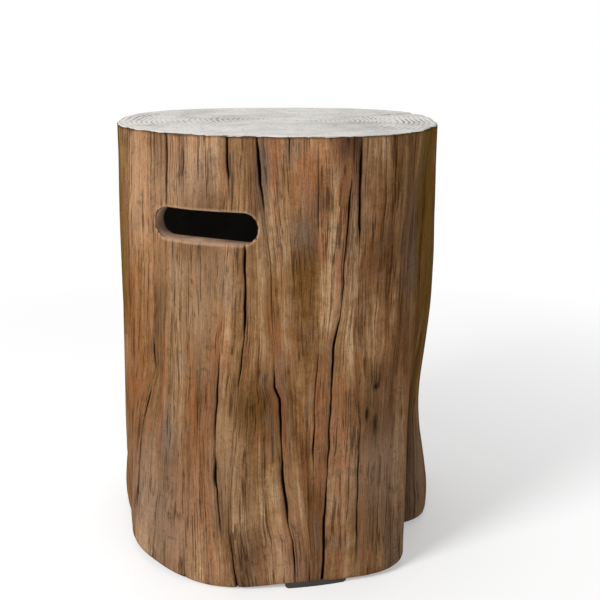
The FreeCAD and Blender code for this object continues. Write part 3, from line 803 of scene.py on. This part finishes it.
class Nodes:
    """Short helpers for wiring the nodes of a material or a world."""

    def __init__(self, owner):
        self.owner = owner
        owner.use_nodes = True
        self.tree = owner.node_tree
        self.shader = self.tree.nodes.get("Principled BSDF")

    def new(self, kind, inputs=None, **settings):
        node = self.tree.nodes.new("ShaderNode" + kind)
        for key, value in settings.items():
            setattr(node, key, value)
        self.feed(node, inputs or {})
        return node

    def feed(self, node, inputs):
        """Set each named input to a plain value, or link it to another node's output."""
        for key, value in inputs.items():
            if isinstance(value, (int, float, tuple)):
                node.inputs[key].default_value = value
            else:
                self.tree.links.new(value, node.inputs[key])

    def object_place(self):
        return self.new("TexCoord").outputs["Object"]

    def layer(self, name):
        """A painted layer of the mesh."""
        return self.new("Attribute", attribute_name=name).outputs["Vector"]

    def parts(self, vector):
        return self.new("SeparateXYZ", {0: vector}).outputs

    def noise(self, vector, scale, detail=4, rough=0.55, distortion=0):
        inputs = {"Vector": vector, "Scale": scale, "Detail": detail, "Roughness": rough}
        return self.new("TexNoise", {**inputs, "Distortion": distortion}).outputs["Fac"]

    def drawn(self, vector, stretch, scale, detail=4, rough=0.55):
        """Noise drawn out along the grain."""
        scaled = self.new("Mapping", {"Vector": vector, "Scale": (1, 1, stretch)})
        return self.noise(scaled.outputs[0], scale, detail, rough)

    def ramp(self, value, stops):
        node = self.new("ValToRGB", {0: value})
        points = node.color_ramp.elements
        while len(points) < len(stops):
            points.new(0.5)
        for point, (place, colour) in zip(points, stops):
            point.position = place
            point.color = colour
        return node.outputs["Color"]

    def range(self, value, low, high, to_low=0, to_high=1):
        inputs = {"Value": value, "From Min": low, "From Max": high}
        return self.new("MapRange", {**inputs, "To Min": to_low, "To Max": to_high}).outputs[0]

    def mix(self, factor, first, second, blend="MIX"):
        inputs = {FACTOR: factor, FIRST: first, SECOND: second}
        return self.new("Mix", inputs, data_type="RGBA", blend_type=blend).outputs[MIXED]

    def maths(self, operation, first, second=0):
        return self.new("Math", {0: first, 1: second}, operation=operation).outputs[0]

    def times(self, first, second):
        return self.maths("MULTIPLY", first, second)

    def total(self, *terms):
        """Sum of values, each times its share."""
        result = self.times(*terms[0])
        for term in terms[1:]:
            result = self.maths("ADD", result, self.times(*term))
        return result

    def greater(self, first, second):
        """The greater of two values, each times its share."""
        return self.maths("MAXIMUM", self.times(*first), self.times(*second))

    def cover(self, under, mask, share, colour):
        """Lay a screen colour over what is under it, by a mask times a share."""
        return self.mix(self.times(mask, share), under, linear(*colour))

    def surface(self, colour, roughness, specular=0.5):
        values = {"Base Color": colour, "Roughness": roughness}
        self.feed(self.shader, {**values, "Specular IOR Level": specular})

    def bump(self, height, distance, strength=1):
        node = self.new("Bump", {"Height": height, "Distance": distance, "Strength": strength})
        self.feed(self.shader, {"Normal": node.outputs[0]})


def bark_material():
    """Painted wood relief: streaks along the grain, washes of colour, hairlines and dark cracks, with
    painted shade in the cracks, in the cleft and at the side edges.
    """
    nodes = Nodes(bpy.data.materials.new("bark"))
    flow = nodes.layer("flow")
    height = nodes.parts(flow)[2]
    hollow_shade, halo, lip = nodes.parts(nodes.layer("paint"))
    dark, red, grey = nodes.parts(nodes.layer("wash"))
    olive, pale, strip = nodes.parts(nodes.layer("tint"))
    broad = nodes.drawn(flow, 0.22, 0.030, 4, 0.6)
    streaks = nodes.drawn(flow, 0.045, 0.15, 6, 0.66)
    fine = nodes.drawn(flow, 0.05, 0.62, 5, 0.7)
    blotch = nodes.noise(flow, 0.050, 6, 0.68, 0.4)
    grit = nodes.drawn(flow, 0.45, 0.7, 3, 0.7)

    # Wood tones
    tone = nodes.total((streaks, 0.9), (broad, 0.6), (strip, 0.46), (blotch, 0.65))
    colour = nodes.ramp(nodes.range(tone, 1.00, 1.60), [
        (0, linear(84, 55, 29)), (0.30, linear(112, 79, 48)), (0.58, linear(138, 103, 69)),
        (0.82, linear(164, 129, 94)), (1, linear(188, 156, 120))])

    # Washes of red, olive, pale, grey and dark, the dark partly painted shade
    ruddy = nodes.range(nodes.drawn(flow, 0.10, 0.05, 3), 0.49, 0.60)
    dusty = nodes.range(nodes.drawn(flow, 0.3, 0.05, 4), 0.55, 0.66)
    smudge = nodes.range(blotch, 0.54, 0.68)
    olive = nodes.maths("MINIMUM", nodes.times(olive, 1.1), 0.80)
    colour = nodes.mix(nodes.greater((ruddy, 0.50), (red, 0.75)), colour, linear(146, 90, 56))
    colour = nodes.mix(olive, colour, linear(114, 83, 24))
    colour = nodes.cover(colour, pale, 0.60, (182, 150, 120))
    colour = nodes.mix(nodes.greater((dusty, 0.30), (grey, 0.85)), colour, linear(116, 103, 93))
    # The dark wash mixes dark paint with painted shadow in the cleft and painted shade at the side
    # edges
    colour = nodes.mix(nodes.greater((smudge, 0.55), (dark, 0.75)), colour, linear(66, 44, 27))

    # Fine streaks and grit
    shade = nodes.ramp(fine, [(0.36, (0.42, 0.37, 0.33, 1)), (0.46, (0.86, 0.84, 0.82, 1)),
                              (0.54, (1.04, 1.04, 1.04, 1)), (0.63, (1.34, 1.32, 1.30, 1))])
    colour = nodes.mix(0.44, colour, shade, "MULTIPLY")
    speck = nodes.ramp(grit, [(0.36, (0.55, 0.52, 0.49, 1)), (0.47, (0.98, 0.98, 0.98, 1)),
                              (0.62, (1.22, 1.20, 1.18, 1))])
    colour = nodes.mix(0.42, colour, speck, "MULTIPLY")

    # Hairlines: short ticks, and contours of a long noise, each kept to some places
    ticks = nodes.range(nodes.drawn(flow, 0.030, 0.42, 2, 0.5), 0.40, 0.355)
    ticks = nodes.times(ticks, nodes.range(nodes.drawn(flow, 0.35, 0.045, 3), 0.46, 0.56))
    contour = nodes.maths("SUBTRACT", nodes.drawn(flow, 0.022, 0.085), 0.5)
    contour = nodes.range(nodes.maths("ABSOLUTE", contour), 0.015, 0.007)
    contour = nodes.times(contour, nodes.range(nodes.drawn(flow, 0.40, 0.035, 3), 0.45, 0.53))
    hairline = nodes.maths("MAXIMUM", ticks, contour)

    # Cracks with their halos, the dark upper rim and the worn lips of the hand holds
    colour = nodes.cover(colour, halo, nodes.range(broad, 0.40, 0.60, 0.15, 0.75), (78, 55, 38))
    colour = nodes.cover(colour, hairline, 0.64, (46, 29, 18))
    # Painted shade darkens the hollows of the cracks and knots
    colour = nodes.mix(nodes.range(hollow_shade, 0.06, 0.42), colour, linear(34, 21, 13))
    rim = nodes.range(nodes.total((height, 1), (blotch, 9)), HEIGHT - 1, HEIGHT + 2.5)
    colour = nodes.cover(colour, rim, 0.8, (70, 50, 36))
    colour = nodes.cover(colour, lip, 0.80, (180, 146, 118))
    nodes.surface(colour, nodes.range(fine, 0.4, 0.6, 0.82, 0.58), 0)
    nodes.bump(nodes.total((fine, 0.9), (streaks, 1), (hairline, -0.5), (grit, 0.35)), 0.0026)
    return nodes.owner


def top_material():
    """Pale sawn top with carved growth rings and a speckled grain."""
    nodes = Nodes(bpy.data.materials.new("sawn_top"))
    place = nodes.object_place()
    cloud = nodes.noise(place, 14)
    colour = nodes.ramp(cloud, [(0.3, linear(178, 175, 170)), (0.7, linear(204, 202, 198))])
    carve, share, _ = nodes.parts(nodes.layer("paint"))
    grit = nodes.noise(place, 380, 4, 0.75)
    rough = nodes.noise(place, 120, 4, 0.7)
    groove = nodes.range(carve, 0.40, 0.95)
    patch = nodes.range(nodes.noise(place, 30, 4, 0.65), 0.42, 0.58, 0.35, 1)
    colour = nodes.cover(colour, groove, patch, (112, 107, 101))
    speck = nodes.range(nodes.total((grit, 0.6), (rough, 0.4)), 0.53, 0.62)
    colour = nodes.cover(colour, speck, 0.5, (98, 92, 85))
    colour = nodes.cover(colour, nodes.range(share, 0.90, 0.97), 0.35, (206, 202, 197))
    colour = nodes.cover(colour, nodes.range(share, 0.985, 1), 0.7, (120, 98, 80))
    nodes.surface(colour, 0.8, 0.3)
    nodes.bump(nodes.maths("ADD", grit, rough), 0.0010, 0.8)
    return nodes.owner


def cast_material():
    """Unpainted grey casting inside the shell."""
    nodes = Nodes(bpy.data.materials.new("raw_casting"))
    place = nodes.object_place()
    cloud = nodes.noise(place, 9, 5, 0.6)
    pores = nodes.noise(place, 260, 3, 0.7)
    colour = nodes.ramp(cloud, [(0.3, linear(74, 71, 67)), (0.7, linear(98, 95, 90))])
    colour = nodes.cover(colour, nodes.range(pores, 0.60, 0.72), 0.5, (54, 52, 49))
    nodes.surface(colour, 0.92)
    nodes.bump(nodes.maths("SUBTRACT", cloud, pores), 0.0015, 0.6)
    return nodes.owner


# Distances in metres from the trunk axis, out through a hand hold, between which its lip turns
# dark with painted shade towards the hollow
LIP_LIGHT, LIP_DARK = 0.217, 0.197


def lip_material():
    """Worn paint on the inside of the hand holds, with painted shade that darkens it towards the
    hollow.
    """
    nodes = Nodes(bpy.data.materials.new("worn_lip"))
    place = nodes.object_place()
    cloud = nodes.noise(place, 40, 5, 0.6)
    colour = nodes.ramp(cloud, [(0.36, linear(158, 122, 94)), (0.64, linear(212, 180, 154))])
    turn = math.radians(HOLD_AZIMUTHS[0])
    ahead = nodes.new("VectorMath", {0: place, 1: (math.sin(turn), -math.cos(turn), 0)},
                      operation="DOT_PRODUCT")
    ahead = nodes.maths("ADD", ahead.outputs["Value"], AXIS_Y * MM * math.cos(turn))
    # Painted shade, darker deeper into the hold
    hold_shade = nodes.range(nodes.maths("ABSOLUTE", ahead), LIP_LIGHT, LIP_DARK)
    colour = nodes.cover(colour, hold_shade, 0.75, (84, 64, 44))
    nodes.surface(colour, 0.85)
    nodes.bump(nodes.noise(place, 500, 2, 0.6), 0.0006, 0.6)
    return nodes.owner


def rubber_material():
    """Matt black rubber with a dusty bloom."""
    nodes = Nodes(bpy.data.materials.new("foot_rubber"))
    place = nodes.object_place()
    dust = nodes.noise(place, 60, 4, 0.6)
    colour = nodes.ramp(dust, [(0.35, linear(34, 29, 26)), (0.75, linear(58, 50, 44))])
    nodes.surface(colour, nodes.range(dust, 0.3, 0.7, 0.6, 0.8))
    nodes.bump(nodes.noise(place, 900, 2, 0.6), 0.0004, 0.5)
    return nodes.owner


# Bake map
# Two wide rows hold the bark's front and rear half. Below them lie a block with the inside and
# the lips, and the top. All are shares of the map's side. Corners within 1 mm of the axis have
# no angle of their own and take their face's mean.
BARK_SPAN, BARK_TALL = 0.97, 0.32
FRONT_ROW, REAR_ROW = 0.66, 0.325
BLOCK_MIDDLE, BLOCK_SPAN = 0.32, 0.60
INSIDE_ROW, INSIDE_TALL, CEILING_SHARE = 0.05, 0.15, 0.6
LIP_ROW, LIP_STEP, LIP_TALL = 0.235, 0.045, 0.035
LIP_INNER, LIP_DEPTH = 200, 50
TOP_MIDDLE_U, TOP_MIDDLE_V, TOP_SPAN, TOP_WIDTH = 0.825, 0.16, 0.31, 500
ON_AXIS = 1


def read(items, name, kind=int, width=1):
    """One value or vector of every item, as a flat array."""
    values = np.empty(width * len(items), kind)
    items.foreach_get(name, values)
    return values


def corner_values(mesh):
    """Each face corner's place in millimetres, with its face's number and material."""
    points = read(mesh.vertices, "co", float, 3).reshape(-1, 3)
    names = ("loop_start", "loop_total", "material_index")
    starts, totals, materials = (read(mesh.polygons, name) for name in names)
    face = np.repeat(np.arange(len(starts)), totals)
    return points[read(mesh.loops, "vertex_index")] / MM, face, starts, materials[face]


def unrolled(angle, face, starts, radius):
    """Angles that don't jump inside a face, and each face's mean angle from -180 to 180."""
    on_axis = radius < ON_AXIS
    first = angle[starts][face]
    first = np.where(on_axis[starts][face], np.roll(angle, -1)[starts][face], first)
    angle = first + (angle - first + 180) % 360 - 180
    weight = np.where(on_axis, 0, 1)
    mean = np.bincount(face, angle * weight) / np.bincount(face, weight)
    angle = np.where(on_axis, mean[face], angle)
    turns = 360 * np.floor((mean + 180) / 360)
    return angle - turns[face], (mean - turns)[face]


def lay_map(mesh):
    """Bake map: two halves of the bark, the inside, the hold lips and the top on one square."""
    place, face, starts, material = corner_values(mesh)
    x, y, z = place[:, 0], place[:, 1] - AXIS_Y, place[:, 2]
    radius = np.hypot(x, y)
    angle, mean = unrolled(np.degrees(np.arctan2(x, -y)), face, starts, radius)

    # Bark
    rear = np.abs(mean) > 90
    behind = np.where(mean > 0, angle - 180, angle + 180)
    u = 0.5 + BARK_SPAN * np.where(rear, behind, angle) / 180
    v = np.where(rear, REAR_ROW, FRONT_ROW) + BARK_TALL * ((z - RIM) / TALL)

    # Inside
    wall = material == CAST
    u = np.where(wall, BLOCK_MIDDLE - BLOCK_SPAN * angle / 360, u)
    v = np.where(wall, INSIDE_ROW + INSIDE_TALL * (z - CEILING_SHARE * radius) / HEIGHT, v)

    # Lips of the hand holds
    for row, hold in enumerate(HOLD_AZIMUTHS):
        turn = math.radians(hold)
        across = x * math.cos(turn) + y * math.sin(turn)
        depth = (x * math.sin(turn) - y * math.cos(turn) - LIP_INNER) / LIP_DEPTH
        around, _ = unrolled(np.degrees(np.arctan2(z - HOLD_CENTRE, across)), face, starts, radius)
        lip = (material == LIP) & (np.cos(np.radians(mean - hold)) > 0)
        u = np.where(lip, BLOCK_MIDDLE - BLOCK_SPAN * around / 360, u)
        v = np.where(lip, LIP_ROW + LIP_STEP * row + LIP_TALL * depth, v)

    # Top
    top = material == TOP
    u = np.where(top, TOP_MIDDLE_U + TOP_SPAN * x / TOP_WIDTH, u)
    v = np.where(top, TOP_MIDDLE_V + TOP_SPAN * y / TOP_WIDTH, v)
    layer = mesh.uv_layers.new(name="OFBake")
    layer.uv.foreach_set("vector", np.stack([u, v], -1).astype(np.float32).ravel())


# Stump
def make_stump():
    """The shell with its materials, hand holds, hose passage and bake map."""
    stump = build_shell()
    for material in (bark_material(), top_material(), cast_material(), lip_material()):
        stump.data.materials.append(material)
    for place, hold in enumerate(HOLD_AZIMUTHS):
        cut(stump, f"hold_cutter_{place}", hold, hold_outline(), LIP)
    cut(stump, "hose_cutter", HOSE_AZIMUTH, hose_outline(), CAST)
    lay_map(stump.data)
    return stump


stump = make_stump()
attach(stump, "root")
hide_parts("stump_shell")

rubber = rubber_material()
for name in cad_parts:
    if name.endswith("foot_pad"):
        for slot in bpy.data.objects[name].material_slots:
            slot.material = rubber


# Floor
# Distances in metres between which it turns plain white, and how white it is at the near one
FLOOR_NEAR, FLOOR_FAR, NEAR_WHITE = 0.45, 1.5, 0.35
FLOOR_SIZE = 40
WHITE = (1, 1, 1, 1)


def floor_material():
    """Pale floor that keeps the soft shadow near the table and turns plain white further off."""
    nodes = Nodes(bpy.data.materials.new("pale_floor"))
    nodes.surface((0.92, 0.92, 0.92, 1), 0.95, 0)
    place = nodes.new("NewGeometry").outputs["Position"]
    length = nodes.new("VectorMath", {0: place}, operation="LENGTH").outputs["Value"]
    share = nodes.range(length, FLOOR_NEAR, FLOOR_FAR, NEAR_WHITE, 1)
    white = nodes.new("Emission").outputs[0]
    mix = nodes.new("MixShader", {0: share, 1: nodes.shader.outputs[0], 2: white})
    nodes.feed(nodes.tree.nodes["Material Output"], {0: mix.outputs[0]})
    return nodes.owner


def make_floor():
    """Wide ground that isn't part of the table."""
    bpy.ops.mesh.primitive_plane_add(size=FLOOR_SIZE, location=(0, 0, 0))
    floor = bpy.context.object
    floor.name = "floor"
    floor.data.materials.append(floor_material())


# Light: name, place and width in metres, and power, all turned to one place on the axis
LAMPS = [
    ("key", (-2.1, -1.9, 1.9), 1.2, 112),
    ("fill", (1.6, -2.4, 1.2), 2, 7),
    ("over", (0, 0.6, 2.6), 1.8, 26),
]
LIT_PLACE = (0, 0, 0.35)
WORLD_STRENGTH = 0.34


def area_light(name, location, size, power):
    """A round soft light that is turned to the table."""
    light = bpy.data.lights.new(name, "AREA")
    light.shape = "DISK"
    light.size = size
    light.energy = power
    lamp = bpy.data.objects.new(name, light)
    lamp.location = location
    x, y, z = np.array(LIT_PLACE) - location
    lamp.rotation_euler = (math.atan2(math.hypot(x, y), -z), 0, math.atan2(-x, y))
    bpy.context.scene.collection.objects.link(lamp)


def make_world():
    """Even pale world, plain white where the camera sees it."""
    world = bpy.context.scene.world = bpy.data.worlds.new("studio")
    nodes = Nodes(world)
    even = nodes.tree.nodes["Background"]
    nodes.feed(even, {"Color": WHITE, "Strength": WORLD_STRENGTH})
    white = nodes.new("Background", {"Color": WHITE})
    seen = nodes.new("LightPath").outputs["Is Camera Ray"]
    mix = nodes.new("MixShader", {0: seen, 1: even.outputs[0], 2: white.outputs[0]})
    nodes.feed(nodes.tree.nodes["World Output"], {0: mix.outputs[0]})


# Camera: the photograph's side, focal length and middle in pixels, the camera's place in
# metres, its pitch downwards in degrees and its sensor in millimetres
IMAGE = 600
FOCAL_PIXELS = 963.3
CENTRE_X, CENTRE_Y = 277.5, 249
CAMERA_BACK, CAMERA_UP = 1.4174, 0.7506
CAMERA_PITCH = 12.883
SENSOR = 36


def make_camera():
    """Camera at the photograph's viewing angle, a little above the table top."""
    data = bpy.data.cameras.new("camera")
    data.sensor_width = SENSOR
    data.lens = FOCAL_PIXELS / IMAGE * SENSOR
    data.shift_x = (IMAGE / 2 - CENTRE_X) / IMAGE
    data.shift_y = (CENTRE_Y - IMAGE / 2) / IMAGE
    camera = bpy.data.objects.new("camera", data)
    camera.location = (0, -CAMERA_BACK, CAMERA_UP)
    camera.rotation_euler = (math.radians(90 - CAMERA_PITCH), 0, 0)
    bpy.context.scene.collection.objects.link(camera)
    bpy.context.scene.camera = camera


make_floor()
for lamp_values in LAMPS:
    area_light(*lamp_values)
make_world()
make_camera()
bpy.context.scene.view_settings.view_transform = "Standard"
